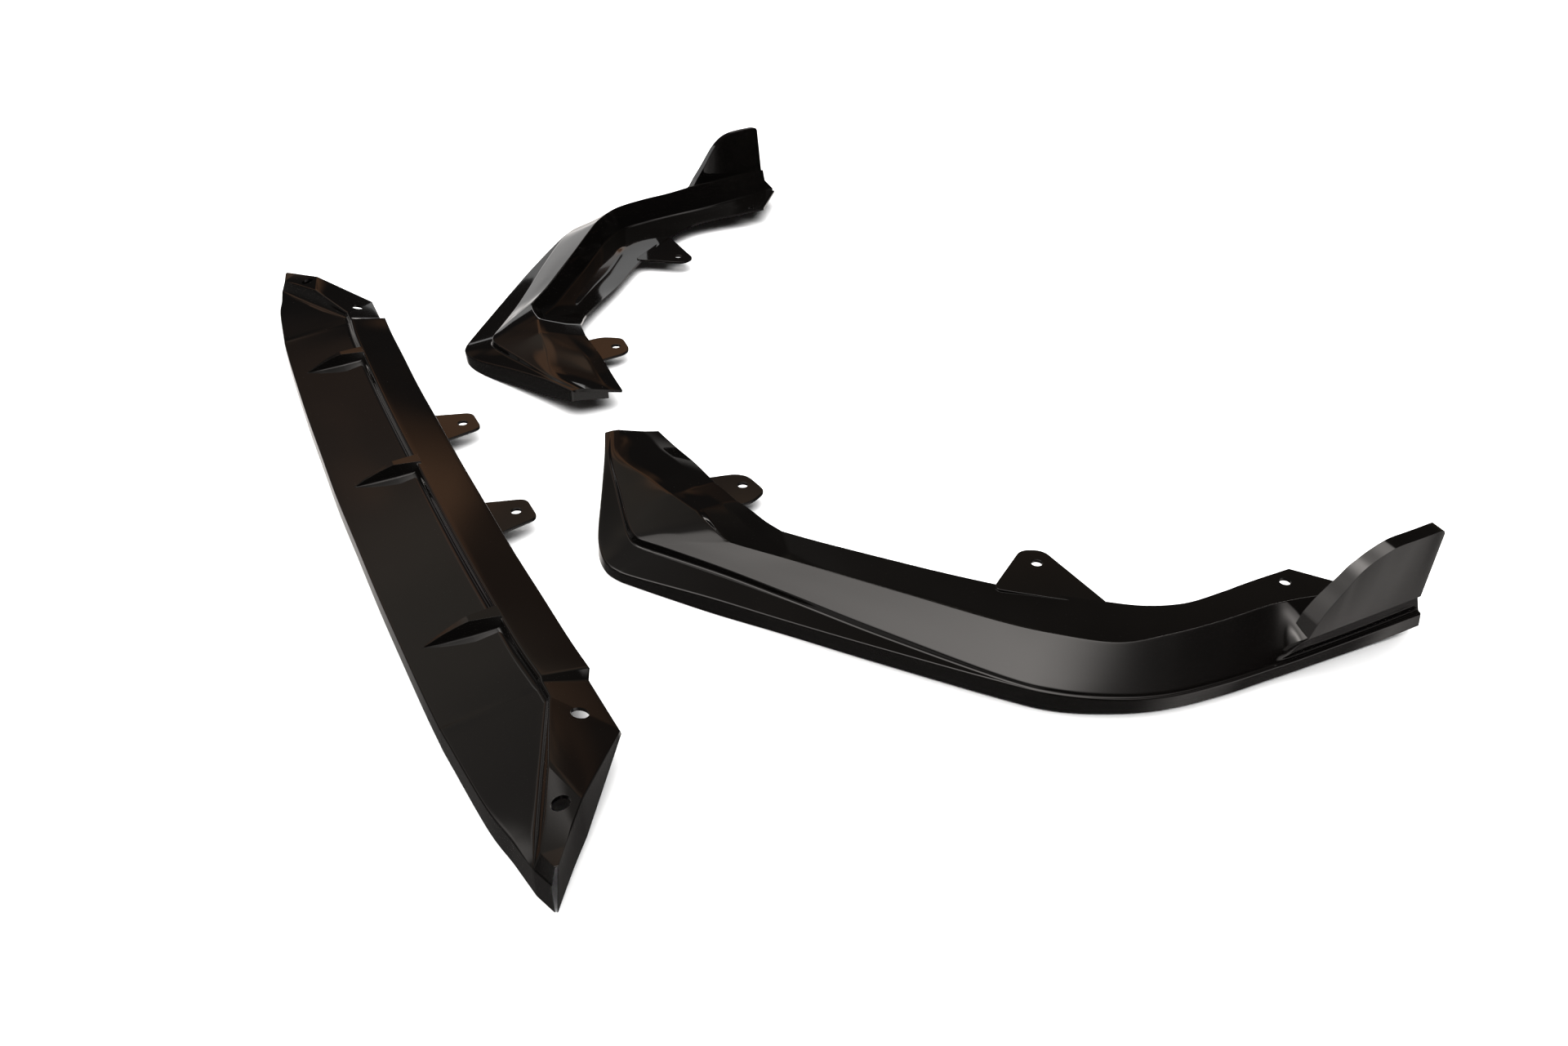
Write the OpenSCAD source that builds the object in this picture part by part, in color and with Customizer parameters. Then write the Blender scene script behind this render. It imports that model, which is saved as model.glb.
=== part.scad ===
// Front splitter lip in three mouldings: one centre piece and a mirrored pair of corner pieces,
// laid out apart on a floor. Each is a thin shell, open below, with screw tabs and screw holes.

/* [Moulding] */
// Thickness of the moulded shell
wall = 3; // [2.4:0.1:3.2]
// Thickness of the upright fin at each rear end, above its thicker front foot
fin_thick = 11.5; // [9:0.5:14]

/* [Centre piece] */
// Length of the centre piece from tip to tip
centre_length = 1174; // [1160:2:1190]
// Height of the blade's front wall at the middle
front_height = 21.5; // [19:0.5:24]
// Height of the raised band behind the blade, at its front edge
band_height = 41; // [39:0.5:44]
// Distance from the middle to each of the two outer strakes
strake_spacing = 292; // [270:2:310]

/* [Screw holes] */
// Diameter of the holes in the end flanges
flange_hole = 14; // [8:0.5:16]
// Diameter of the holes in the rear tabs
tab_hole = 10; // [6:0.5:12]

/* [Layout on the floor] */
// Turn of the centre piece, seen from above
centre_turn = -64.2; // [-66:0.1:-62]
// Turn of the left corner piece, seen from above
left_turn = -6.2; // [-8:0.1:-4]
// Turn of the right corner piece, seen from above
right_turn = -122.9; // [-125:0.1:-121]

/* [Hidden] */
gloss_black = [0.05, 0.05, 0.055];
centre_place = [-341.7, -208.4];
left_place = [-125.5, -124.2];
right_place = [-173.7, -25.5];
tip = centre_length / 2;
band_end = tip - 197;

// Item i of a list, held at the first and last items
function held(p, i) = p[max(0, min(len(p) - 1, i))];
function unit(v) = v / max(norm(v), 0.000001);

// Smooth curve through the points p, cut into n steps between neighbours
function smooth(p, n) = [
    for (i = [0:len(p) - 2]) for (k = [0:n - 1])
        let (t = k / n, a = held(p, i - 1), b = p[i], c = p[i + 1], d = held(p, i + 2))
        0.5 * (2 * b + (c - a) * t + (2 * a - 5 * b + 4 * c - d) * t * t
            + (3 * b - a - 3 * c + d) * t * t * t),
    p[len(p) - 1]
];

// Rails turned into sections: item i is the section at step i, from the first rail to the last
function sections(rails) = [for (i = [0:len(rails[0]) - 1]) [for (r = rails) r[i]]];

// Outward normal of the strip between points j and j+1 of section i
function strip_normal(g, i, j) =
    unit(cross(held(g, i + 1)[j] + held(g, i + 1)[j + 1] - held(g, i - 1)[j] - held(g, i - 1)[j + 1],
        g[i][j + 1] - g[i][j]));

// The same point on the under side, one thickness in, with the corners mitred
function below(g, i, j, t) =
    let (a = strip_normal(g, i, max(0, j - 1)), b = strip_normal(g, i, min(len(g[0]) - 2, j)),
        q = g[i][j] - (a + b) * t / max(0.7, 1 + a * b))
    [q[0], q[1], max(0, q[2])];

// Under side of a whole grid; the list thin gives each section its share of the wall thickness
function under(g, thin) =
    [for (i = [0:len(g) - 1]) [for (j = [0:len(g[0]) - 1]) below(g, i, j, wall * thin[i])]];

// Closed sheet between an upper grid of points and a lower grid of the same size
module sheet(upper, lower) {
    rows = len(upper);
    cols = len(upper[0]);
    size = rows * cols;
    function id(i, j) = i * cols + j;
    skin = [for (i = [0:rows - 2]) for (j = [0:cols - 2])
        for (f = [[id(i, j), id(i, j + 1), id(i + 1, j + 1)], [id(i, j), id(i + 1, j + 1), id(i + 1, j)]]) f];
    back = [for (f = skin) [f[2] + size, f[1] + size, f[0] + size]];
    rim = concat(
        [for (j = [0:cols - 2]) [id(0, j + 1), id(0, j)]],
        [for (j = [0:cols - 2]) [id(rows - 1, j), id(rows - 1, j + 1)]],
        [for (i = [0:rows - 2]) [id(i, 0), id(i + 1, 0)]],
        [for (i = [0:rows - 2]) [id(i + 1, cols - 1), id(i, cols - 1)]]);
    edge = [for (r = rim) for (f = [[r[0], r[1], r[1] + size], [r[0], r[1] + size, r[0] + size]]) f];
    polyhedron(points = [for (g = [upper, lower]) for (r = g) for (p = r) p],
        faces = concat(skin, back, edge));
}

// Four-cornered plate, thickened along the vector t
module plate(a, b, c, d, t) {
    sheet([[a, d], [b, c]], [[a + t, d + t], [b + t, c + t]]);
}

// Flat tab in plan with rounded corners and a hole, its upper face at the height top
module tab(outline, top, hole) {
    difference() {
        translate([0, 0, top - wall]) linear_extrude(wall) offset(r = 8) offset(delta = -8) polygon(outline);
        translate([hole[0], hole[1], top - wall - 5]) cylinder(d = tab_hole, h = wall + 10, $fn = 48);
    }
}

// Centre piece: x along the lip from the middle, y to the rear. Rails of one half, middle to tip.
mid_x = [for (f = [0, 0.24, 0.48, 0.7, 0.88, 1]) f * band_end];
function mid(ys, z, rise) = [for (i = [0:5]) [mid_x[i], ys[i], z + rise[i]]];
level = [0, 0, 0, 0, 0, 0];
foot_height = front_height + 11.5;
front_y = [-42, -41, -40, -38, -36, -34];
function front(z, rise) = concat(
    [for (i = [0:5]) [mid_x[i], front_y[i], z + rise * i / 10]],
    [[tip - 189, -33.5, z + rise * 0.6], [tip - 172, -32, z + rise * 0.6], [tip - 95, -25, z + rise * 0.8],
        [tip - 55, -17.5, z + rise * 0.9], [tip - 21, -12, z + rise], [tip - 2, -5.5, z + rise]]);
foot_rail = concat(mid([35, 35, 36, 38, 40, 44], foot_height, [0, 0, 0, 0.5, 1, 1]),
    [[tip - 189, 45.5, foot_height + 1], [tip - 172, 46, foot_height + 1],
        [tip - 97, 17, front_height + 8], [tip - 57, 2, front_height + 6],
        [tip - 20.8, -11.4, front_height + 4.3], [tip - 1.8, -4.6, front_height + 5]]);
band_front_rail = concat(mid([39, 39, 40, 42, 44.5, 48], band_height, level),
    [[tip - 190, 47, band_height - 0.5], [tip - 171, 47.5, band_height - 1],
        [tip - 93, 23, band_height + 5], [tip - 55, 8, band_height + 1],
        [tip - 20.4, -6, band_height - 3], [tip - 1.2, -1.8, band_height]]);
band_rear_rail = concat(
    mid([82, 82.5, 83, 85, 86.5, 88.5], band_height - 8, [0, 0, 0, 0.5, 1, 2]),
    [[tip - 188, 84, band_height - 10], [tip - 121.6, 86, band_height - 11.5],
        [tip - 47, 33, band_height + 6], [tip - 30, 21, band_height + 4.5],
        [tip - 14, 10, band_height + 2.5], [tip, 0.5, band_height + 1]]);
rear_foot_rail = concat(mid([78, 78.5, 79, 81, 82.5, 84.5], 17 - wall, level),
    [[tip - 187, 84.5, band_height - 13.5], [tip - 121, 86.5, band_height - 14.5],
        [tip - 46.5, 33, 11.5], [tip - 31, 20, 8], [tip - 16, 8, 4], [tip - 1, -3.5, 0]]);
half_rails = [front(0, 0), front(front_height, 3.5), foot_rail, band_front_rail, band_rear_rail,
    rear_foot_rail];
half_thin = [1, 1, 1, 1, 1, 1, 1, 1, 1, 1, 0.8, 0.2];
function mirrored(p) = [for (i = [len(p) - 1:-1:1]) [-p[i][0], p[i][1], p[i][2]]];

// Low pointed strake on the blade, running up to the band; x is its distance from the middle
module strake(x) {
    top = band_height + 0.5;
    low = foot_height - 1.5;
    p = [[x, -23, front_height + 2], [x - 4, 17, top], [x + 4, 17, top], [x - 8, 42, top - 1],
        [x + 8, 42, top - 1], [x - 9, 17, low - 1.5], [x + 9, 17, low - 1.5], [x - 13, 42, low + 0.5],
        [x + 13, 42, low + 0.5], [x, -21, front_height + 1], [x - 8.5, 17, low - 3],
        [x + 8.5, 17, low - 3], [x - 12.5, 42, low - 0.5], [x + 12.5, 42, low - 0.5]];
    polyhedron(points = p, faces = [[0, 1, 2], [1, 3, 4, 2], [0, 5, 1], [0, 2, 6], [1, 5, 7], [1, 7, 3],
        [2, 8, 6], [2, 4, 8], [3, 7, 12], [3, 12, 13], [3, 13, 8], [3, 8, 4], [0, 9, 10], [0, 10, 5],
        [0, 6, 11], [0, 11, 9], [5, 10, 12], [5, 12, 7], [6, 8, 13], [6, 13, 11], [9, 11, 13],
        [9, 13, 12], [9, 12, 10]]);
}

module centre_splitter() {
    rails = [for (r = half_rails) concat(mirrored(r), r)];
    thin = concat([for (i = [len(half_thin) - 1:-1:1]) half_thin[i]], half_thin);
    g = sections(rails);
    color(gloss_black) translate(centre_place) rotate(centre_turn) {
        difference() {
            sheet(g, under(g, thin));
            for (s = [-1, 1]) for (p = [[tip - 147, 63.5], [tip - 52, 19]])
                translate([s * p[0], p[1], 25]) cylinder(d = flange_hole, h = 40, $fn = 48);
        }
        for (x = [-strake_spacing, 0, strake_spacing]) strake(x);
        for (s = [-1, 1])
            tab([[s * 70, 74], [s * 84, 126], [s * 123, 126], [s * 138, 74]], 17, [s * 103, 110]);
    }
}

// Left corner piece: the corner of its inner end at the origin, x outward, y to the rear.
// Rails from the outer foot to the rear edge, each with the same stations from inner to rear end.
outer_foot_rail = [[0, 0, 20.5], [10, -48, 11.5], [19, -104, 6], [28, -161, 0], [34.5, -187, 0],
    [45, -207, 0], [57, -218.5, 0], [76, -228.5, 0], [150, -261, 0], [216, -286, 0.5], [291, -316, 1.5],
    [395, -355, 2], [441.5, -368, 2], [489, -366.5, 2], [529.5, -357, 2], [576, -335.5, 2],
    [618, -311, 2], [636, -300.5, 2], [660, -286, 2], [712, -255, 2.5], [756.5, -231.5, 8]];
outer_top_rail = [[0, 0, 34], [10, -48, 32], [19.5, -104, 26], [29, -164, 17.5], [36.5, -190, 14],
    [46.5, -210.5, 13], [58, -221, 12.5], [76, -230.5, 12.5], [150, -261, 16], [215, -289, 17.5],
    [290, -320, 19.5], [395, -360, 21.5], [442, -372, 20.5], [490, -371, 19], [531, -361, 18],
    [578, -339, 18], [620, -315, 18], [638, -304.5, 18], [662, -289.5, 18], [711, -258, 18],
    [756, -230, 20]];
ledge_rail = [[4.5, 2.8, 34.2], [15, -48, 32.2], [34.5, -104, 26.5], [51.5, -151, 22],
    [60.5, -174.5, 20.5], [70, -188, 19.5], [84.3, -196, 19.5], [100.8, -203.3, 19.5],
    [159.3, -231, 20], [224.7, -266.5, 20.7], [297.8, -307, 21.4], [396, -356, 22.2], [442, -369, 21.5],
    [489.5, -368, 19.7], [530, -358.2, 18.7], [576.5, -336.6, 18.7], [618.5, -312.7, 18.7],
    [636.5, -302.2, 18.7], [660.5, -287.3, 18.7], [709.5, -255.8, 18.7], [754.5, -227.8, 20.7]];
face_foot_rail = [[6.5, 4, 34.4], [17.2, -48, 33.8], [36.8, -103, 31], [53.3, -150, 28.6],
    [62.5, -173, 27.4], [72, -187, 27], [86, -194.8, 27], [102, -202, 27], [160.3, -229.8, 26.6],
    [225.8, -264.8, 26.2], [298.7, -305, 25.7], [396.5, -354.6, 24.5], [442, -368, 23.5],
    [489, -367, 21.5], [529.5, -357.3, 20.5], [576, -335.8, 20.5], [618, -311.9, 20.5],
    [636, -301.4, 20.5], [660, -286.5, 20.5], [709, -255, 20.5], [754, -227, 22.5]];
shoulder_rail = [[9, 5.5, 34.4], [21.5, -49, 34.4], [49, -100.3, 33.8], [69.5, -141.2, 33.6],
    [86.5, -166.8, 33.2], [99, -184, 32.6], [114.3, -196.6, 31.8], [129.5, -203.8, 31.6],
    [182.3, -227.4, 31.4], [243.5, -258.4, 31.8], [311.2, -293, 32], [397, -335, 31.8],
    [441, -350, 31.4], [489.5, -353, 31], [531, -341.8, 31.4], [577, -322, 31], [619, -309, 27],
    [638, -309.5, 41], [656, -299.5, 45], [701, -272.5, 47.3], [741, -248, 49.5]];
ridge_rail = [[13, 8, 33.8], [28, -51, 34.5], [66, -96, 37], [93, -128, 40], [122, -157, 40.5],
    [139, -179.5, 39.6], [156.5, -198.8, 37.4], [170.4, -206.8, 37.2], [215, -224.4, 37.3],
    [270, -248.5, 38.5], [330, -275, 40], [398, -306, 42], [440, -322, 44.5], [490, -331, 46],
    [534, -318, 48.5], [575, -299, 50.5], [612, -281, 54.5], [630, -273, 55], [652, -264.5, 55],
    [700, -250, 55], [742, -236, 53.5]];
wall_foot_rail = [[19, 11.7, 31.5], [36, -43, 33.4], [72, -88, 36.5], [99, -121, 39], [128, -149, 38.5],
    [144, -172, 30], [163, -190.5, 21], [183, -206, 12.5], [226, -222.5, 9], [280, -246, 8.5],
    [339.5, -271.5, 8.5], [405, -300.3, 9.5], [443, -314, 11.5], [490, -322, 14], [529, -310, 16],
    [568, -292, 18], [603, -272, 20], [623, -262, 21], [647, -252, 22], [690, -238, 23],
    [740, -228.5, 23.5]];
crease_rail = [[38, 22.5, 25.5], [58, -14, 29], [84, -52, 33], [114, -105, 36], [142, -130, 33],
    [163, -146, 26], [186, -161.5, 18.5], [211, -177, 12.5], [244, -196.5, 9.5], [296, -218.5, 9],
    [351, -237.5, 9.5], [407, -261.5, 11], [440, -276.5, 13], [480, -291, 15], [516, -289, 16],
    [553, -275, 18], [590, -255, 20], [610, -243.5, 21], [636, -232, 22], [680, -222, 23],
    [742, -222.5, 23.3]];
rear_rail = [[50.5, 31, 22], [75, -4, 23.5], [102, -44, 28], [128, -87, 32.5], [155, -118, 30],
    [170, -128, 26.5], [186, -140, 22], [202, -150, 18.5], [240, -163, 17], [303.4, -182.8, 15],
    [357.3, -202, 15.5], [410, -219, 16.5], [450, -228, 17], [487, -235, 18], [525, -238.5, 18],
    [560, -234, 20], [593, -217, 22], [611, -205.5, 22.7], [630, -194, 23.5], [657, -179, 25],
    [743, -215, 23]];
corner_rails = [outer_foot_rail, outer_top_rail, ledge_rail, face_foot_rail, shoulder_rail,
    ridge_rail, wall_foot_rail, crease_rail, rear_rail];

// Upright fin at the rear end, from its foot line up to its top edge
fin_top = [[647, -304, 54], [654, -299.5, 65], [661, -296, 75], [668, -293, 85], [675, -289.5, 95],
    [683, -286.5, 103], [693, -282.5, 110], [704, -277, 114.5], [718, -270, 116.5], [731, -262.5, 117.5],
    [745, -253.5, 118]];
module fin() {
    foot = [for (p = fin_top) let (f = (p[0] - 647) / 98)
        [641 + 103.5 * f, -308.5 + 62.5 * f, 42 + 5.5 * f]];
    in = [for (i = [0:10]) [-0.53, 0.84, 0.12] * fin_thick * (1 + 0.45 * max(0, 1 - i / 4.5))];
    sheet([for (i = [0:10]) [foot[i], fin_top[i]]],
        [for (i = [0:10]) [foot[i] + in[i], fin_top[i] + in[i]]]);
}

function grounded(p) = [for (q = p) [q[0], q[1], max(0, q[2])]];

module corner() {
    g = sections([for (r = corner_rails) grounded(smooth(r, 2))]);
    difference() {
        sheet(g, under(g, [for (r = g) 1]));
        translate([650, -198, 10]) cylinder(d = tab_hole, h = 30, $fn = 48);
    }
    fin();
    plate([1, -0.4, 33], [38, 21, 24.5], [38, 21, 14.5], [1, -0.4, 20.5], [1.5, -2.6, 0]);
    tab([[100, -56], [117, -50], [142, -40], [156, -43], [175, -68], [175, -76], [165, -95], [136, -108]],
        15, [153, -62]);
    plate([103, -49, 26.5], [133, -96, 31], [133, -96, 12], [103, -49, 12], [-2.5, -1.7, 0]);
    tab([[396, -224], [423, -158], [444, -157], [498, -242]], 17, [437, -179]);
}

module left_corner_splitter() {
    color(gloss_black) translate(left_place) rotate(left_turn) corner();
}

module right_corner_splitter() {
    color(gloss_black) translate(right_place) rotate(right_turn) mirror([1, 0, 0]) corner();
}

centre_splitter();
left_corner_splitter();
right_corner_splitter();
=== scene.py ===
import math
import bpy
import numpy as np
from mathutils import Matrix, Vector


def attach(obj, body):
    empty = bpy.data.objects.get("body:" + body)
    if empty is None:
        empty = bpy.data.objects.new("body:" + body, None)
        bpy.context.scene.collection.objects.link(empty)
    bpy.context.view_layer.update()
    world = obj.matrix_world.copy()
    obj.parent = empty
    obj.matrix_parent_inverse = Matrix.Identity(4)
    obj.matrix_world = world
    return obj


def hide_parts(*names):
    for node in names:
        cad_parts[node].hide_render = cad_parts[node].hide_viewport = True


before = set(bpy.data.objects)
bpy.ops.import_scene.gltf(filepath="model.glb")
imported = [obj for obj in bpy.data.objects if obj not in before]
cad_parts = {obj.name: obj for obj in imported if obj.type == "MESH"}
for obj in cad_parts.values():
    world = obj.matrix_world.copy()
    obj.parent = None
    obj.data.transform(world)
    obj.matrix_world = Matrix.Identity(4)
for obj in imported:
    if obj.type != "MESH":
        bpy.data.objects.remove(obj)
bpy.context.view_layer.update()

print("frame loaded")

# camera, found by matching the outlines with the photograph
camera = {
    "place": (0.0611, -1.3403, 0.676),
    "pitch": 58.18,
    "roll": -0.352,
    "lens": 30.18,
}
cameraData = bpy.data.cameras.new("camera")
cameraObject = bpy.data.objects.new("camera", cameraData)
bpy.context.scene.collection.objects.link(cameraObject)
cameraData.lens = camera["lens"]
cameraData.sensor_width = 36
cameraData.sensor_fit = "HORIZONTAL"
cameraData.clip_end = 60
cameraObject.matrix_world = (
    Matrix.Translation(camera["place"])
    @ Matrix.Rotation(math.radians(camera["pitch"]), 4, "X")
    @ Matrix.Rotation(math.radians(camera["roll"]), 4, "Z"))
bpy.context.scene.camera = cameraObject
print("camera set")


def spline(points, sharp, steps):
    # the cubic through each two neighbours with the slopes of their own neighbours; at a sharp
    # station the missing neighbour is the next point mirrored through it
    p = np.asarray(points, float)
    n = len(p)
    b, c = p[:-1], p[1:]
    cut = np.zeros(n, bool)
    cut[[0, n - 1]] = True
    cut[[k for k in sharp if 0 < k < n - 1]] = True
    before = np.vstack([p[:1], p[:-2]])
    after = np.vstack([p[2:], p[-1:]])
    a = np.where(cut[:-1, None], 2 * b - c, before)
    d = np.where(cut[1:, None], 2 * c - b, after)
    t = (np.arange(steps) / steps)[None, :, None]
    a, b, c, d = (q[:, None, :] for q in (a, b, c, d))
    curve = 0.5 * (2 * b + (c - a) * t + (2 * a - 5 * b + 4 * c - d) * t ** 2
                   + (3 * b - a - 3 * c + d) * t ** 3)
    return np.vstack([curve.reshape(-1, 3), p[-1:]])


def unit(v):
    return v / np.maximum(np.linalg.norm(v, axis=-1, keepdims=True), 1e-9)


def underside(grid, wall):
    # each point goes in by the wall thickness along the mitre of the two strips beside it
    along = np.gradient(grid, axis=0)
    across = grid[:, 1:] - grid[:, :-1]
    normal = unit(np.cross(along[:, :-1] + along[:, 1:], across))
    a = np.concatenate([normal[:, :1], normal], axis=1)
    b = np.concatenate([normal, normal[:, -1:]], axis=1)
    spread = np.maximum(0.7, 1 + (a * b).sum(-1, keepdims=True))
    low = grid - (a + b) * np.asarray(wall).reshape(-1, 1, 1) / spread
    low[..., 2] = np.maximum(low[..., 2], 0)
    return low


def roundedProfile(grid, radius, cuts, corner=6):
    # at each inner rail the corner becomes a quadratic curve between two points one radius away
    # along the strips; every strip between two corners is cut evenly
    rails = grid.shape[1]
    starts, ends, arcs = [grid[:, 0]], [grid[:, 0]], [None]
    u = np.linspace(0, 1, corner)[None, :, None]
    for j in range(1, rails - 1):
        before, here, after = grid[:, j - 1], grid[:, j], grid[:, j + 1]
        back = np.linalg.norm(before - here, axis=1, keepdims=True)
        on = np.linalg.norm(after - here, axis=1, keepdims=True)
        size = np.asarray(radius[j]).reshape(-1, 1)
        start = here + (before - here) * np.minimum(size, 0.42 * back) / back
        end = here + (after - here) * np.minimum(size, 0.42 * on) / on
        arcs.append((1 - u) ** 2 * start[:, None] + 2 * u * (1 - u) * here[:, None]
                    + u ** 2 * end[:, None])
        starts.append(start)
        ends.append(end)
    starts.append(grid[:, -1])
    parts = [grid[:, :1]]
    for j in range(rails - 1):
        t = (np.arange(1, cuts[j] + 1) / (cuts[j] + 1))[None, :, None]
        parts.append(ends[j][:, None] * (1 - t) + starts[j + 1][:, None] * t)
        parts.append(arcs[j + 1] if j < rails - 2 else grid[:, -1:])
    return np.concatenate(parts, axis=1)


def shellFaces(rows, cols):
    # quads of the upper grid, the same quads turned over for the under grid, and the rim between
    i, j = np.meshgrid(np.arange(rows - 1), np.arange(cols - 1), indexing="ij")
    a = (i * cols + j).ravel()
    upper = np.stack([a, a + 1, a + cols + 1, a + cols], 1)
    size = rows * cols
    lower = upper[:, ::-1] + size
    top = np.arange(cols - 1)
    left = np.arange(rows - 1) * cols
    rim = np.concatenate([
        np.stack([top + 1, top], 1),
        np.stack([top, top + 1], 1) + (rows - 1) * cols,
        np.stack([left, left + cols], 1),
        np.stack([left + cols, left], 1) + cols - 1])
    edge = np.stack([rim[:, 0], rim[:, 1], rim[:, 1] + size, rim[:, 0] + size], 1)
    return np.concatenate([upper, lower, edge])


def placed(points, seat):
    # local millimetres to metres in the shared frame: mirror in x, turn about z, then move
    p = np.asarray(points, float).reshape(-1, 3).copy()
    if seat["flip"]:
        p[:, 0] *= -1
    angle = math.radians(seat["turn"])
    x = p[:, 0] * math.cos(angle) - p[:, 1] * math.sin(angle) + seat["place"][0]
    y = p[:, 0] * math.sin(angle) + p[:, 1] * math.cos(angle) + seat["place"][1]
    return np.stack([x, y, p[:, 2]], 1) / 1000


def makePiece(name, points, faces, seat, node):
    verts = placed(points, seat)
    faces = np.asarray(faces)
    if seat["flip"]:
        faces = faces[:, ::-1]
    mesh = bpy.data.meshes.new(name)
    mesh.from_pydata(verts.tolist(), [], faces.tolist())
    mesh.update()
    mesh.shade_smooth()
    piece = bpy.data.objects.new(name, mesh)
    bpy.context.scene.collection.objects.link(piece)
    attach(piece, "root")
    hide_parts(node)
    return piece


def makeSheet(name, upper, lower, seat, node, turned=False):
    # closed sheet between two grids of points; turned swaps which grid faces outwards
    faces = shellFaces(*upper.shape[:2])
    points = np.concatenate([upper.reshape(-1, 3), lower.reshape(-1, 3)])
    return makePiece(name, points, faces[:, ::-1] if turned else faces, seat, node)


def softenEdges(piece, width, segments=2, angle=38):
    # rounded edges of the given width in millimetres, with even shading over them
    bevel = piece.modifiers.new("softEdges", "BEVEL")
    bevel.width = width / 1000
    bevel.segments = segments
    bevel.limit_method = "ANGLE"
    bevel.angle_limit = math.radians(angle)
    bevel.harden_normals = False
    even = piece.modifiers.new("evenNormals", "WEIGHTED_NORMAL")
    even.keep_sharp = True


def cutHoles(piece, holes, seat):
    # each hole is an upright round cutter, taken away from the finished mesh
    for x, y, z, r in holes:
        middle = placed([[x, y, z]], seat)[0]
        n, reach = 64, [0, 0, 0.03]
        around = np.arange(n) * 2 * math.pi / n
        ring = np.stack([np.cos(around), np.sin(around), 0 * around], 1) * r / 1000
        verts = np.concatenate([ring + middle - reach, ring + middle + reach])
        k0 = np.arange(n)
        sides = np.stack([k0, (k0 + 1) % n, (k0 + 1) % n + n, k0 + n], 1).tolist()
        faces = sides + [list(range(n - 1, -1, -1)), list(range(n, 2 * n))]
        mesh = bpy.data.meshes.new("cutter")
        mesh.from_pydata(verts.tolist(), [], faces)
        cutter = bpy.data.objects.new("cutter", mesh)
        bpy.context.scene.collection.objects.link(cutter)
        cut = piece.modifiers.new("hole", "BOOLEAN")
        cut.operation = "DIFFERENCE"
        cut.solver = "EXACT"
        cut.object = cutter
        bpy.context.view_layer.update()
        deps = bpy.context.evaluated_depsgraph_get()
        done = bpy.data.meshes.new_from_object(piece.evaluated_get(deps))
        old = piece.data
        piece.modifiers.clear()
        piece.data = done
        bpy.data.meshes.remove(old)
        bpy.data.objects.remove(cutter)
        bpy.data.meshes.remove(mesh)


def roundedOutline(corners, radius, steps=8):
    # the polygon with each corner replaced by a quadratic curve of the given reach
    p = np.asarray(corners, float)
    back, on = np.roll(p, 1, 0), np.roll(p, -1, 0)
    lb = np.linalg.norm(back - p, axis=1, keepdims=True)
    lo = np.linalg.norm(on - p, axis=1, keepdims=True)
    start = p + (back - p) * np.minimum(radius, 0.45 * lb) / lb
    end = p + (on - p) * np.minimum(radius, 0.45 * lo) / lo
    u = np.linspace(0, 1, steps)[None, :, None]
    curve = (1 - u) ** 2 * start[:, None] + 2 * u * (1 - u) * p[:, None] + u ** 2 * end[:, None]
    return curve.reshape(-1, 2)


def tabSurface(corners, top, hole, holeRadius, wall, soft, count=120):
    # closed surface round the hole: for each angle a ring of points runs from the hole's edge over
    # the upper face, down the outer edge, back along the under face and up the hole
    outline = roundedOutline(corners, 9)
    centre = np.asarray(hole, float)
    angle = np.arange(count) * 2 * math.pi / count
    ray = np.stack([np.cos(angle), np.sin(angle)], 1)
    a = outline - centre
    b = np.roll(a, -1, 0)
    edge = b - a
    cross = ray[:, None, 0] * edge[None, :, 1] - ray[:, None, 1] * edge[None, :, 0]
    cross = np.where(np.abs(cross) < 1e-9, 1e-9, cross)
    far = (a[None, :, 0] * edge[None, :, 1] - a[None, :, 1] * edge[None, :, 0]) / cross
    part = (a[None, :, 0] * ray[:, None, 1] - a[None, :, 1] * ray[:, None, 0]) / cross
    reach = np.where((far > 0) & (part >= -1e-6) & (part <= 1 + 1e-6), far, 1e9).min(1)
    r0, r1 = holeRadius, reach
    s = soft
    rings = [(r0 + s, top), (r0 + s * 2, top), (r0 + (r1 - r0) * 0.5, top), (r1 - s * 2, top), (r1 - s, top),
             (r1 - 0.3 * s, top - 0.3 * s), (r1, top - s), (r1, top - wall + s),
             (r1 - 0.3 * s, top - wall + 0.3 * s), (r1 - s, top - wall), (r0 + (r1 - r0) * 0.5, top - wall),
             (r0 + s, top - wall), (r0 + 0.3 * s, top - wall + 0.3 * s), (r0 + 0 * r1, top - wall + s),
             (r0 + 0 * r1, top - s), (r0 + 0.3 * s, top - 0.3 * s)]
    points = np.stack([np.concatenate([
        centre + ray * (np.zeros(count) + r)[:, None], np.full((count, 1), z)], 1) for r, z in rings], 1)
    m = len(rings)
    i, j = np.meshgrid(np.arange(count), np.arange(m), indexing="ij")
    i2, j2 = (i + 1) % count, (j + 1) % m
    faces = np.stack([i * m + j, i * m + j2, i2 * m + j2, i2 * m + j], -1).reshape(-1, 4)
    return points.reshape(-1, 3), faces


def plateGrid(a, b, c, d, along=10, across=4):
    # plate between four corners: the even blend of its edges
    u = np.linspace(0, 1, along)[:, None, None]
    v = np.linspace(0, 1, across)[None, :, None]
    a, b, c, d = (np.asarray(q, float) for q in (a, b, c, d))
    return (1 - u) * (1 - v) * a + u * (1 - v) * b + u * v * c + (1 - u) * v * d


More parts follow.
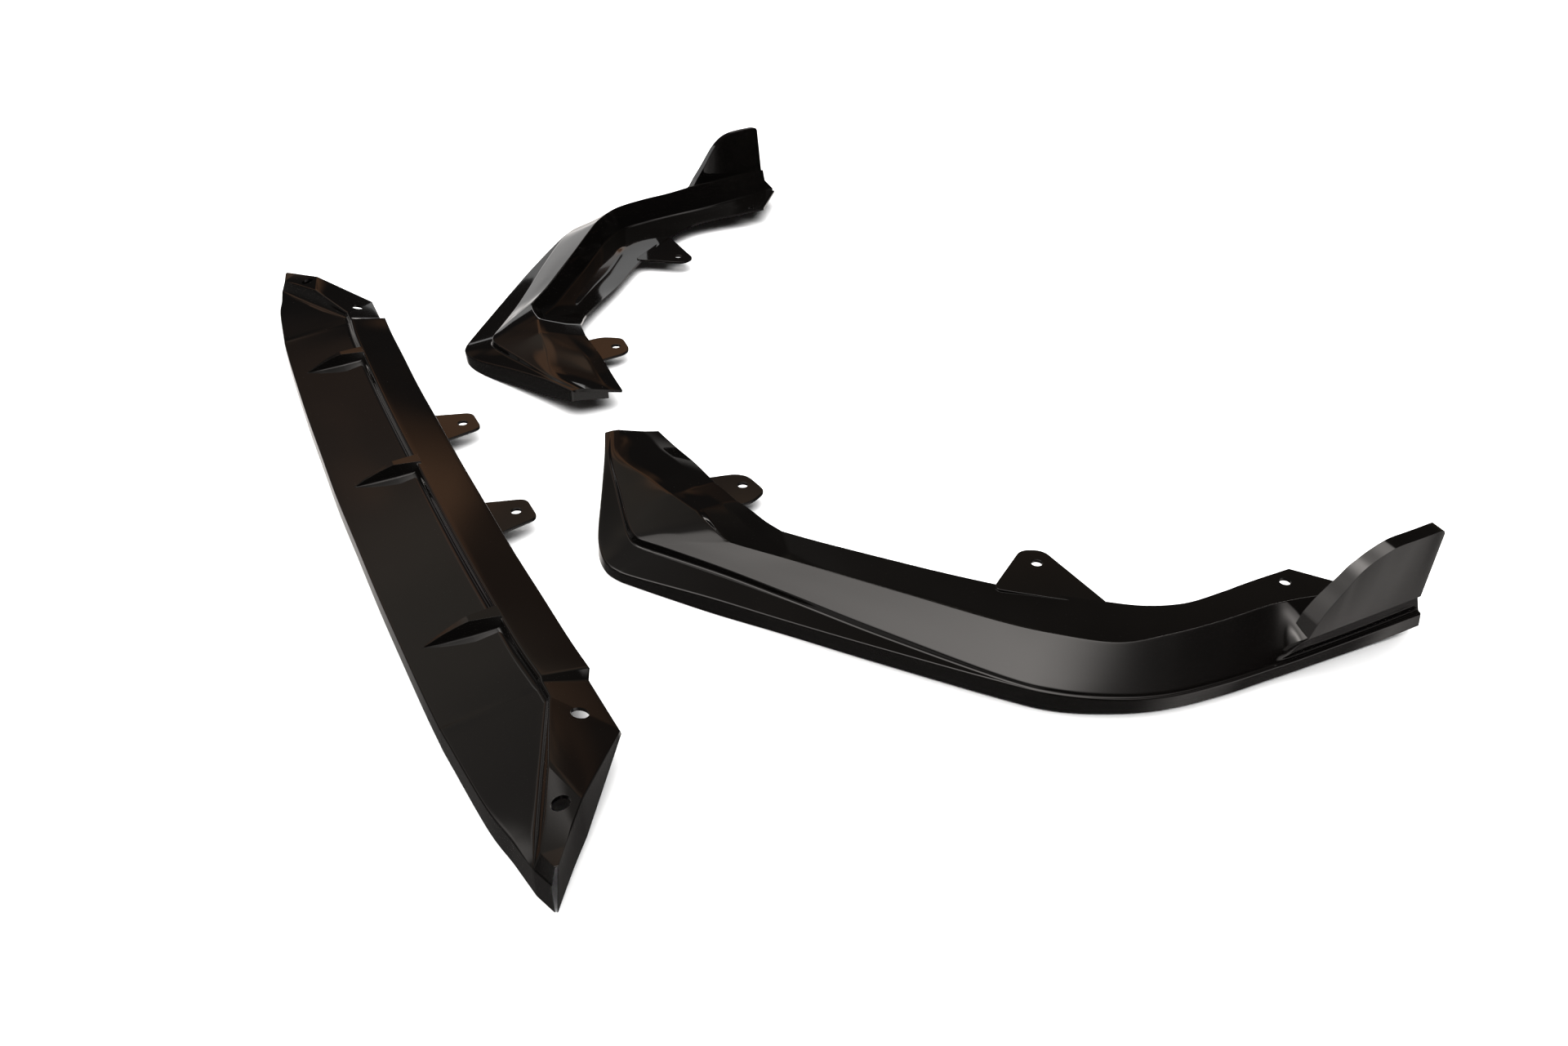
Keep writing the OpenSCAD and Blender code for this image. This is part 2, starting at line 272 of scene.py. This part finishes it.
class Wire:
    # a socket that takes part in sums; each sum adds one Math node
    def __init__(self, tree, socket):
        self.tree, self.socket = tree, socket

    def maths(self, kind, other, swap=False):
        node = self.tree.nodes.new("ShaderNodeMath")
        node.operation = kind
        for slot, value in zip((1, 0) if swap else (0, 1), (self, other)):
            if isinstance(value, Wire):
                self.tree.links.new(value.socket, node.inputs[slot])
            else:
                node.inputs[slot].default_value = value
        return Wire(self.tree, node.outputs[0])

    def __add__(self, other): return self.maths("ADD", other)
    def __radd__(self, other): return self.maths("ADD", other, True)
    def __sub__(self, other): return self.maths("SUBTRACT", other)
    def __rsub__(self, other): return self.maths("SUBTRACT", other, True)
    def __mul__(self, other): return self.maths("MULTIPLY", other)
    def __rmul__(self, other): return self.maths("MULTIPLY", other, True)


class Finish:
    def __init__(self, name):
        self.material = bpy.data.materials.new(name)
        self.material.use_nodes = True
        self.tree = self.material.node_tree
        self.shader = next(n for n in self.tree.nodes if n.type == "BSDF_PRINCIPLED")

    def node(self, kind, settings=None, inputs=None, out=0):
        made = self.tree.nodes.new(kind)
        for key, value in (settings or {}).items():
            setattr(made, key, value)
        for key, value in (inputs or {}).items():
            if isinstance(value, Wire):
                self.tree.links.new(value.socket, made.inputs[key])
            else:
                made.inputs[key].default_value = value
        return Wire(self.tree, made.outputs[out])

    def feed(self, name, value):
        if isinstance(value, Wire):
            self.tree.links.new(value.socket, self.shader.inputs[name])
        else:
            self.shader.inputs[name].default_value = value


gloss = {
    "dark": (0.0012, 0.0011, 0.0010, 1),
    "light": (0.0024, 0.0021, 0.0019, 1),
    "roughness": 0.045,
    "hazeAmount": 0.05,
    "refraction": 1.5,
    "coat": 0.6,
    "coatRoughness": 0.03,
    "flowSize": 9,
    "dustSize": 160,
    "peelSize": 420,
    "peelStrength": 0.12,
    "peelDepth": 0.00003,
}


def makeGlossBlack():
    # near-black base with a slow change of tint, a roughness that varies like dust, a faint peel
    finish = Finish("glossBlack")
    place = finish.node("ShaderNodeTexCoord", out=3)
    flow = finish.node("ShaderNodeTexNoise", {"noise_dimensions": "3D"},
                       {"Vector": place, "Scale": gloss["flowSize"], "Detail": 3.0, "Roughness": 0.55})
    dust = finish.node("ShaderNodeTexNoise", {"noise_dimensions": "3D"},
                       {"Vector": place, "Scale": gloss["dustSize"], "Detail": 4.0, "Roughness": 0.6})
    peel = finish.node("ShaderNodeTexNoise", {"noise_dimensions": "3D"},
                       {"Vector": place, "Scale": gloss["peelSize"], "Detail": 1.0, "Roughness": 0.4})
    tint = finish.node("ShaderNodeMix", {"data_type": "RGBA"},
                       {0: flow, 6: gloss["dark"], 7: gloss["light"]}, out=2)
    haze = gloss["roughness"] + gloss["hazeAmount"] * flow * dust
    bump = {"Strength": gloss["peelStrength"], "Distance": gloss["peelDepth"], "Height": peel}
    skin = finish.node("ShaderNodeBump", None, bump)
    finish.feed("Base Color", tint)
    finish.feed("Roughness", haze)
    finish.feed("Normal", skin)
    finish.feed("Coat Weight", gloss["coat"])
    finish.feed("Coat Roughness", gloss["coatRoughness"])
    finish.feed("IOR", gloss["refraction"])
    return finish.material


glossBlack = makeGlossBlack()
print("finish made")

centre = {
    "seat": {"place": (-341.7, -208.4), "turn": -64.2, "flip": False},
    "tip": 587,
    "frontHeight": 21.5,
    "bandHeight": 41,
    "wall": 3,
    "strakes": (-292, 0, 292),
    "flangeHole": 7,
    "tabHole": 5,
}


def centreRails():
    tip, front, band = centre["tip"], centre["frontHeight"], centre["bandHeight"]
    foot = front + 11.5
    bandEnd = tip - 197
    midX = [f * bandEnd for f in (0, 0.24, 0.48, 0.7, 0.88, 1)]
    frontY = [-42, -41, -40, -38, -36, -34]

    def mid(ys, zs):
        return [[x, y, z] for x, y, z in zip(midX, ys, zs)]

    def frontRail(z, rise):
        share = [0, 0.1, 0.2, 0.3, 0.4, 0.5, 0.6, 0.6, 0.8, 0.9, 1, 1]
        ends = [[tip - 189, -33.5], [tip - 172, -32], [tip - 95, -25], [tip - 55, -17.5], [tip - 21, -12],
                [tip - 2, -5.5]]
        xy = [[x, y] for x, y in zip(midX, frontY)] + ends
        return [[x, y, z + rise * s] for (x, y), s in zip(xy, share)]

    footRail = mid([35, 35, 36, 38, 40, 44], [foot, foot, foot, foot + 0.5, foot + 1, foot + 1]) + [
        [tip - 189, 45.5, foot + 1], [tip - 172, 46, foot + 1], [tip - 97, 17, front + 8],
        [tip - 57, 2, front + 6], [tip - 20.8, -11.4, front + 4.3], [tip - 1.8, -4.6, front + 5]]
    bandFront = mid([39, 39, 40, 42, 44.5, 48], [band] * 6) + [
        [tip - 190, 47, band - 0.5], [tip - 171, 47.5, band - 1], [tip - 93, 23, band + 5],
        [tip - 55, 8, band + 1], [tip - 20.4, -6, band - 3], [tip - 1.2, -1.8, band]]
    bandRear = mid([82, 82.5, 83, 85, 86.5, 88.5], [band - k for k in (8, 8, 8, 7.5, 7, 6)]) + [
        [tip - 188, 84, band - 10], [tip - 121.6, 86, band - 11.5], [tip - 47, 33, band + 6],
        [tip - 30, 21, band + 4.5], [tip - 14, 10, band + 2.5], [tip, 0.5, band + 1]]
    rearFoot = mid([78, 78.5, 79, 81, 82.5, 84.5], [14] * 6) + [
        [tip - 187, 84.5, band - 13.5], [tip - 121, 86.5, band - 14.5], [tip - 46.5, 33, 11.5],
        [tip - 31, 20, 8], [tip - 16, 8, 4], [tip - 1, -3.5, 0]]
    return [frontRail(0, 0), frontRail(front, 3.5), footRail, bandFront, bandRear, rearFoot]


def makeCentre():
    steps = 14
    fine = []
    for k, rail in enumerate(centreRails()):
        p = np.asarray(rail, float)
        whole = np.vstack([p[:0:-1] * [-1, 1, 1], p])
        last = len(p) - 1
        corners = [9, 10] if k < 2 else [5, 6, 7, 8, 10]
        sharp = [last + c for c in corners] + [last - c for c in corners]
        fine.append(spline(whole, sharp, steps))
    grid = np.stack(fine, 1)
    x = np.abs(grid[:, 0, 0])
    thick = centre["wall"] * np.clip((centre["tip"] - x) / 20, 0.15, 1)
    low = underside(grid, thick)
    cuts = [3, 12, 3, 8, 4]
    end = np.clip((centre["tip"] - 20 - x) / 30, 0.15, 1)
    radius = [0, 1.2 * end, 3.5 * end, 2.2 * end, 1.4 * end, 0]
    upper = roundedProfile(grid, radius, cuts)
    lower = roundedProfile(low, [0, 1, 1, 1, 1, 0], cuts)
    seat, tip, r = centre["seat"], centre["tip"], centre["flangeHole"]
    shell = makeSheet("centreShell", upper, lower, seat, "centre_splitter")
    spots = ((tip - 147, 63.5, 37), (tip - 52, 19, 47))
    cutHoles(shell, [(s * x, y, z, r) for s in (-1, 1) for x, y, z in spots], seat)
    softenEdges(shell, 0.5)
    shell.data.materials.append(glossBlack)
    for k, x0 in enumerate(centre["strakes"]):
        makeStrake(f"strake{k + 1}", x0, seat)
    for name, s in (("centreTabLeft", 1), ("centreTabRight", -1)):
        corners = [[s * 70, 74], [s * 138, 74], [s * 123, 126], [s * 84, 126]][::s]
        points, faces = tabSurface(corners, 17, (s * 103, 110), centre["tabHole"], centre["wall"], 0.5)
        tab = makePiece(name, points, faces, seat, "centre_splitter")
        tab.data.materials.append(glossBlack)


def makeStrake(name, x0, seat):
    # wedge with steep sides: from its tip to 61 hundredths of its length the crest rises in a
    # straight line from the blade to the band's height, then it runs level and widens; a small
    # hollow fillet of three steps joins each side to the blade
    front, band = centre["frontHeight"], centre["bandHeight"]
    t = np.unique(np.concatenate([np.linspace(0, 1, 34), [0.61]]))
    y = -23 + 66 * t
    bladeZ = front + 0.3 + (y + 40) * 11.5 / 75
    rise = np.minimum(1, t / 0.61)
    topZ = bladeZ + (band + 0.7 - bladeZ) * rise
    flat = np.where(t < 0.61, 4 * t / 0.61, 4 + 4 * (t - 0.61) / 0.39) + 0.15
    wide = flat + 5 * rise
    small = np.clip(t / 0.25, 0.15, 1)
    fillet = [(3.0, -0.5), (1.4, 0.25), (0.45, 1.1), (0, 2.6)]
    sides = []
    for sign in (-1, 1):
        run = [np.stack([x0 + sign * (wide + out * small), y, bladeZ + up * small], 1) for out, up in fillet]
        run.append(np.stack([x0 + sign * flat, y, topZ], 1))
        sides.append(np.stack(run if sign < 0 else run[::-1], 1))
    grid = np.concatenate([sides[0], sides[1]], 1)
    low = grid.copy()
    low[..., 2] = (bladeZ - 2.2)[:, None]
    piece = makeSheet(name, grid, low, seat, "centre_splitter", turned=True)
    softenEdges(piece, 0.9, 3, 42)
    piece.data.materials.append(glossBlack)


makeCentre()
print("centre moulding made")

corner = {
    "left": {"place": (-125.5, -124.2), "turn": -6.2, "flip": False},
    "right": {"place": (-173.7, -25.5), "turn": -122.9, "flip": True},
    "wall": 3,
    "tabHole": 5,
    "finThick": 11.5,
    "finSwell": 0.45,
    "finFoot": (641, -308.5, 42),
    "finRun": (103.5, 62.5, 5.5),
}
# the long rails of a corner piece in its own millimetres, each from the inner end to the fin's end;
# the stations of all the rails lie side by side
outerFoot = [[0, 0, 20.5], [10, -48, 11.5], [19, -104, 6], [28, -161, 0], [34.5, -187, 0],
    [45, -207, 0], [57, -218.5, 0], [76, -228.5, 0], [150, -261, 0], [216, -286, 0.5], [291, -316, 1.5],
    [395, -355, 2], [441.5, -368, 2], [489, -366.5, 2], [529.5, -357, 2], [576, -335.5, 2],
    [618, -311, 2], [636, -300.5, 2], [660, -286, 2], [712, -255, 2.5], [756.5, -231.5, 8]]
outerTop = [[0, 0, 34], [10, -48, 32], [19.5, -104, 26], [29, -164, 17.5], [36.5, -190, 14],
    [46.5, -210.5, 13], [58, -221, 12.5], [76, -230.5, 12.5], [150, -261, 16], [215, -289, 17.5],
    [290, -320, 19.5], [395, -360, 21.5], [442, -372, 20.5], [490, -371, 19], [531, -361, 18],
    [578, -339, 18], [620, -315, 18], [638, -304.5, 18], [662, -289.5, 18], [711, -258, 18],
    [756, -230, 20]]
ledge = [[4.5, 2.8, 34.2], [15, -48, 32.2], [34.5, -104, 26.5], [51.5, -151, 22], [60.5, -174.5, 20.5],
    [70, -188, 19.5], [84.3, -196, 19.5], [100.8, -203.3, 19.5], [159.3, -231, 20],
    [224.7, -266.5, 20.7], [297.8, -307, 21.4], [396, -356, 22.2], [442, -369, 21.5],
    [489.5, -368, 19.7], [530, -358.2, 18.7], [576.5, -336.6, 18.7], [618.5, -312.7, 18.7],
    [636.5, -302.2, 18.7], [660.5, -287.3, 18.7], [709.5, -255.8, 18.7], [754.5, -227.8, 20.7]]
faceFoot = [[6.5, 4, 34.4], [17.2, -48, 33.8], [36.8, -103, 31], [53.3, -150, 28.6], [62.5, -173, 27.4],
    [72, -187, 27], [86, -194.8, 27], [102, -202, 27], [160.3, -229.8, 26.6], [225.8, -264.8, 26.2],
    [298.7, -305, 25.7], [396.5, -354.6, 24.5], [442, -368, 23.5], [489, -367, 21.5],
    [529.5, -357.3, 20.5], [576, -335.8, 20.5], [618, -311.9, 20.5], [636, -301.4, 20.5],
    [660, -286.5, 20.5], [709, -255, 20.5], [754, -227, 22.5]]
shoulder = [[9, 5.5, 34.4], [21.5, -49, 34.4], [49, -100.3, 33.8], [69.5, -141.2, 33.6],
    [86.5, -166.8, 33.2], [99, -184, 32.6], [114.3, -196.6, 31.8], [129.5, -203.8, 31.6],
    [182.3, -227.4, 31.4], [243.5, -258.4, 31.8], [311.2, -293, 32], [397, -335, 31.8],
    [441, -350, 31.4], [489.5, -353, 31], [531, -341.8, 31.4], [577, -322, 31], [619, -309, 27],
    [638, -309.5, 41], [656, -299.5, 45], [701, -272.5, 47.3], [741, -248, 49.5]]
ridge = [[13, 8, 33.8], [28, -51, 34.5], [66, -96, 37], [93, -128, 40], [122, -157, 40.5],
    [139, -179.5, 39.6], [156.5, -198.8, 37.4], [170.4, -206.8, 37.2], [215, -224.4, 37.3],
    [270, -248.5, 38.5], [330, -275, 40], [398, -306, 42], [440, -322, 44.5], [490, -331, 46],
    [534, -318, 48.5], [575, -299, 50.5], [612, -281, 54.5], [630, -273, 55], [652, -264.5, 55],
    [700, -250, 55], [742, -236, 53.5]]
wallFoot = [[19, 11.7, 31.5], [36, -43, 33.4], [72, -88, 36.5], [99, -121, 39], [128, -149, 38.5],
    [144, -172, 30], [163, -190.5, 21], [183, -206, 12.5], [226, -222.5, 9], [280, -246, 8.5],
    [339.5, -271.5, 8.5], [405, -300.3, 9.5], [443, -314, 11.5], [490, -322, 14], [529, -310, 16],
    [568, -292, 18], [603, -272, 20], [623, -262, 21], [647, -252, 22], [690, -238, 23],
    [740, -228.5, 23.5]]
crease = [[38, 22.5, 25.5], [58, -14, 29], [84, -52, 33], [114, -105, 36], [142, -130, 33],
    [163, -146, 26], [186, -161.5, 18.5], [211, -177, 12.5], [244, -196.5, 9.5], [296, -218.5, 9],
    [351, -237.5, 9.5], [407, -261.5, 11], [440, -276.5, 13], [480, -291, 15], [516, -289, 16],
    [553, -275, 18], [590, -255, 20], [610, -243.5, 21], [636, -232, 22], [680, -222, 23],
    [742, -222.5, 23.3]]
rearEdge = [[50.5, 31, 22], [75, -4, 23.5], [102, -44, 28], [128, -87, 32.5], [155, -118, 30],
    [170, -128, 26.5], [186, -140, 22], [202, -150, 18.5], [240, -163, 17], [303.4, -182.8, 15],
    [357.3, -202, 15.5], [410, -219, 16.5], [450, -228, 17], [487, -235, 18], [525, -238.5, 18],
    [560, -234, 20], [593, -217, 22], [611, -205.5, 22.7], [630, -194, 23.5], [657, -179, 25],
    [743, -215, 23]]
# stations where a rail turns sharply, and the fin's top edge
cornerSharp = {"inner": [3, 4, 7], "rear": [3, 4, 7, 19]}
finTop = [[647, -304, 54], [654, -299.5, 65], [661, -296, 75], [668, -293, 85], [675, -289.5, 95],
          [683, -286.5, 103], [693, -282.5, 110], [704, -277, 114.5], [718, -270, 116.5],
          [731, -262.5, 117.5], [742, -255.5, 117.8], [745, -253.5, 114]]


def makeCorner(side):
    seat, node = corner[side], side + "_corner_splitter"
    steps = 12
    rails = [(outerFoot, []), (outerTop, []), (ledge, []), (faceFoot, []), (shoulder, []), (ridge, [3, 4]),
             (wallFoot, cornerSharp["inner"]), (crease, cornerSharp["inner"]),
             (rearEdge, cornerSharp["rear"])]
    grid = np.stack([spline(r, sharp, steps) for r, sharp in rails], 1)
    grid[..., 2] = np.maximum(grid[..., 2], 0)
    low = underside(grid, np.full(len(grid), corner["wall"]))
    cuts = [2, 5, 1, 7, 7, 3, 6, 5]
    count = len(grid)
    station = np.arange(count) / steps
    ones = np.ones(count)
    radius = [0, 1.8 * ones, 1.6 * ones, 1.2 * ones, np.interp(station, [0, 14, 17, 20], [6, 12, 2, 2]),
              np.interp(station, [0, 2, 5, 8, 20], [1, 2, 1.6, 1.4, 1.6]), 2.5 * ones, 3 * ones, 0]
    upper = roundedProfile(grid, radius, cuts)
    lower = roundedProfile(low, [0, 0.8, 0.8, 0.8, 2, 1, 1, 1, 0], cuts)
    shell = makeSheet(side + "Shell", upper, lower, seat, node)
    cutHoles(shell, [(650, -198, 24, corner["tabHole"])], seat)
    softenEdges(shell, 0.5)
    shell.data.materials.append(glossBlack)

    # fin: outer face between its foot line and its top edge, moved inward by a thickness that
    # grows towards the front foot
    top = spline(finTop, [], 6)
    share = np.clip((top[:, 0] - finTop[0][0]) / (finTop[-1][0] - finTop[0][0]), 0, 1)
    foot = np.asarray(corner["finFoot"]) + share[:, None] * np.asarray(corner["finRun"])
    rise = np.linspace(0, 1, 14)[None, :, None]
    outer = foot[:, None] * (1 - rise) + top[:, None] * rise
    swell = corner["finSwell"] * np.maximum(0, 1 - np.arange(len(top)) / 27)
    thick = corner["finThick"] * (1 + swell)
    inner = outer + (np.array([-0.53, 0.84, 0.12]) * thick[:, None])[:, None]
    fin = makeSheet(side + "Fin", outer, inner, seat, node)
    softenEdges(fin, 1.4, 3, 45)
    fin.data.materials.append(glossBlack)

    # closed inner end and the web of the lowered tab
    plates = {
        "InnerEnd": (plateGrid([1, -0.4, 33], [38, 21, 24.5], [38, 21, 14.5], [1, -0.4, 20.5]),
                     (1.5, -2.6, 0)),
        "TabWeb": (plateGrid([103, -49, 26.5], [133, -96, 31], [133, -96, 12], [103, -49, 12]),
                   (-2.5, -1.7, 0)),
    }
    for name, (plate, shift) in plates.items():
        piece = makeSheet(side + name, plate, plate + np.asarray(shift), seat, node)
        softenEdges(piece, 0.5)
        piece.data.materials.append(glossBlack)
    tabs = {
        "InnerTab": ([[100, -56], [136, -108], [165, -95], [175, -76], [175, -68], [156, -43],
                      [142, -40], [117, -50]], 15, (153, -62)),
        "OuterTab": ([[396, -224], [498, -242], [444, -157], [423, -158]], 17, (437, -179)),
    }
    for name, (corners, height, hole) in tabs.items():
        points, faces = tabSurface(corners, height, hole, corner["tabHole"], corner["wall"], 0.5)
        tab = makePiece(side + name, points, faces, seat, node)
        tab.data.materials.append(glossBlack)


for side in ("left", "right"):
    makeCorner(side)
    print(side, "corner moulding made")

studio = {
    "floorSize": 40,
    "floorColour": (0.86, 0.86, 0.86, 1),
    "overheadPlace": (0, 0.6, 6.5),
    "overheadSize": (14, 14),
    "overheadPower": 2300,
    "backdropPlace": (-0.40, 0.9, 0.105),
    "backdropSize": (0.44, 0.19),
    "backdropPower": 0.10,
    "boxCentre": (-0.08, 0.20),
    "boxReach": 0.43,
    "boxGlow": 2.4,
    "boxEdge": 0.42,
    "edgeBlur": 0.03,
    "edgeSlope": 0.45,
    "spillCentre": (-0.42, 0.38),
    "spillReach": 0.30,
    "spillGlow": 0.2,
    "lampCentre": (-0.66, 0.03),
    "lampReach": 0.15,
    "lampGlow": 4.0,
    "frontGlow": 0.22,
    "boxTint": (1.0, 0.95, 0.91),
    "brownTint": (0.18, 0.09, 0.045),
    "greyTint": (0.085, 0.072, 0.056),
    "roomTint": (0.008, 0.007, 0.007),
}
scene = bpy.context.scene
scene.view_settings.view_transform = "Standard"
floorMesh = bpy.data.meshes.new("studioFloor")
half = studio["floorSize"] / 2
floorMesh.from_pydata([(-half, -half, 0), (half, -half, 0), (half, half, 0), (-half, half, 0)],
                      [], [(0, 1, 2, 3)])
floor = bpy.data.objects.new("studioFloor", floorMesh)
scene.collection.objects.link(floor)
floor.visible_glossy = False
floorFinish = Finish("paleFloor")
floorFinish.feed("Base Color", studio["floorColour"])
floorFinish.feed("Roughness", 0.9)
floorFinish.feed("Specular IOR Level", 0.1)
floorMesh.materials.append(floorFinish.material)


class Sky:
    # the surroundings as sums of soft steps over the direction of sight
    def __init__(self, name):
        self.world = bpy.data.worlds.new(name)
        scene.world = self.world
        self.world.use_nodes = True
        self.tree = self.world.node_tree
        self.background = next(n for n in self.tree.nodes if n.type == "BACKGROUND")

    node = Finish.node

    def step(self, value, low, high):
        return self.node("ShaderNodeMapRange", {"interpolation_type": "SMOOTHSTEP"},
                         {0: value, 1: low, 2: high})

    def tinted(self, amount, colour):
        return self.node("ShaderNodeVectorMath", {"operation": "SCALE"}, {0: colour, 3: amount})

    def together(self, a, b):
        return self.node("ShaderNodeVectorMath", {"operation": "ADD"}, {0: a, 1: b})


def makeSky():
    sky = Sky("studioWorld")
    look = sky.node("ShaderNodeTexCoord")
    split = sky.tree.nodes.new("ShaderNodeSeparateXYZ")
    sky.tree.links.new(look.socket, split.inputs[0])
    x, y, z = (Wire(sky.tree, split.outputs[k]) for k in range(3))
    above = sky.step(z, -0.02, 0.02)

    def bell(centre, reach):
        # e to the power of minus the squared distance from the centre over the squared reach
        dx, dy = x - centre[0], y - centre[1]
        return ((dx * dx + dy * dy) * (-1 / reach ** 2)).maths("EXPONENT", 0)

    # overhead soft box: a bell round its centre, cut off by its far edge, which runs askew
    glow = bell(studio["boxCentre"], studio["boxReach"])
    askew = y + studio["edgeSlope"] * x
    edge, blur = studio["boxEdge"], studio["edgeBlur"]
    box = glow * above * (1 - sky.step(askew, edge - blur, edge + blur)) * studio["boxGlow"]
    box = box * (0.25 + 0.75 * sky.step(x, -0.60, -0.45))
    # soft spill on the left beyond that edge, and a dim wall low on the camera's left
    spill = bell(studio["spillCentre"], studio["spillReach"]) * sky.step(z, 0.30, 0.50)
    spill = spill * sky.step(askew, edge - blur, edge + blur) * studio["spillGlow"]
    front = above * (1 - sky.step(y, -0.10, 0.10)) * (1 - sky.step(x, -0.35, -0.20))
    box = box + spill + front * (1 - sky.step(z, 0.45, 0.60)) * studio["frontGlow"]
    # small bright lamp high on the left, seen in the rounded edges
    box = box + bell(studio["lampCentre"], studio["lampReach"]) * above * studio["lampGlow"]
    # white wall low down behind the parts, brighter on the left; the ground is bright far behind
    # the parts and on the right of the camera, and dark elsewhere
    rear = sky.step(y, 0.1, 0.75)
    left = 1 - 0.9 * sky.step(x, 0.0, 0.30)
    low = 0.15 * (1 - sky.step(z, 0.10, 0.22)) + 0.3 * (1 - sky.step(z, 0.0, 0.06))
    low = low * rear * left * above
    down = 1 - sky.step(z, -0.45, -0.15)
    side = sky.step(x, 0.3, 0.7) * (1 - sky.step(y, -0.15, 0.08))
    ground = down * (0.05 + 0.42 * side) + (1 - above) * 0.8 * sky.step(y, 0.6, 0.9)
    # dim brown room between that wall and the soft box, with a plain grey band above it
    cloud = sky.node("ShaderNodeTexNoise", {"noise_dimensions": "3D"},
                     {"Vector": look, "Scale": 6.0, "Detail": 2.0, "Roughness": 0.5})
    patch = sky.step(cloud, 0.42, 0.60)
    dim = 1 - 0.75 * sky.step(x, -0.02, 0.2)
    haze = sky.step(z, 0.35, 0.41) * (1 - sky.step(z, 0.48, 0.58))
    brown = above * rear * dim * haze * (0.2 + 1.1 * patch)
    grey = above * rear * dim * sky.step(z, 0.46, 0.54) * (1 - 0.8 * sky.step(z, 0.60, 0.70))
    colour = sky.tinted(box + low + ground, studio["boxTint"])
    colour = sky.together(colour, sky.tinted(brown, studio["brownTint"]))
    colour = sky.together(colour, sky.tinted(grey, studio["greyTint"]))
    colour = sky.together(colour, studio["roomTint"])
    sky.tree.links.new(colour.socket, sky.background.inputs[0])
    sky.background.inputs[1].default_value = 1.0


makeSky()


def areaLight(name, place, aim, size, power):
    data = bpy.data.lights.new(name, "AREA")
    data.shape = "RECTANGLE"
    data.size, data.size_y = size
    data.energy = power
    light = bpy.data.objects.new(name, data)
    scene.collection.objects.link(light)
    light.location = place
    light.rotation_euler = (Vector(aim) - Vector(place)).to_track_quat("-Z", "Y").to_euler()
    light.visible_camera = False
    return light


# the overhead light only lights the floor; the backdrop behind the right corner piece is only
# there to be reflected in it
overX, overY, overZ = studio["overheadPlace"]
overhead = areaLight("overheadSoftbox", (overX, overY, overZ), (overX, overY, 0),
                     studio["overheadSize"], studio["overheadPower"])
overhead.visible_glossy = False
backX, backY, backZ = studio["backdropPlace"]
areaLight("backdrop", (backX, backY, backZ), (backX, 0, backZ),
          studio["backdropSize"], studio["backdropPower"])
print("studio set")
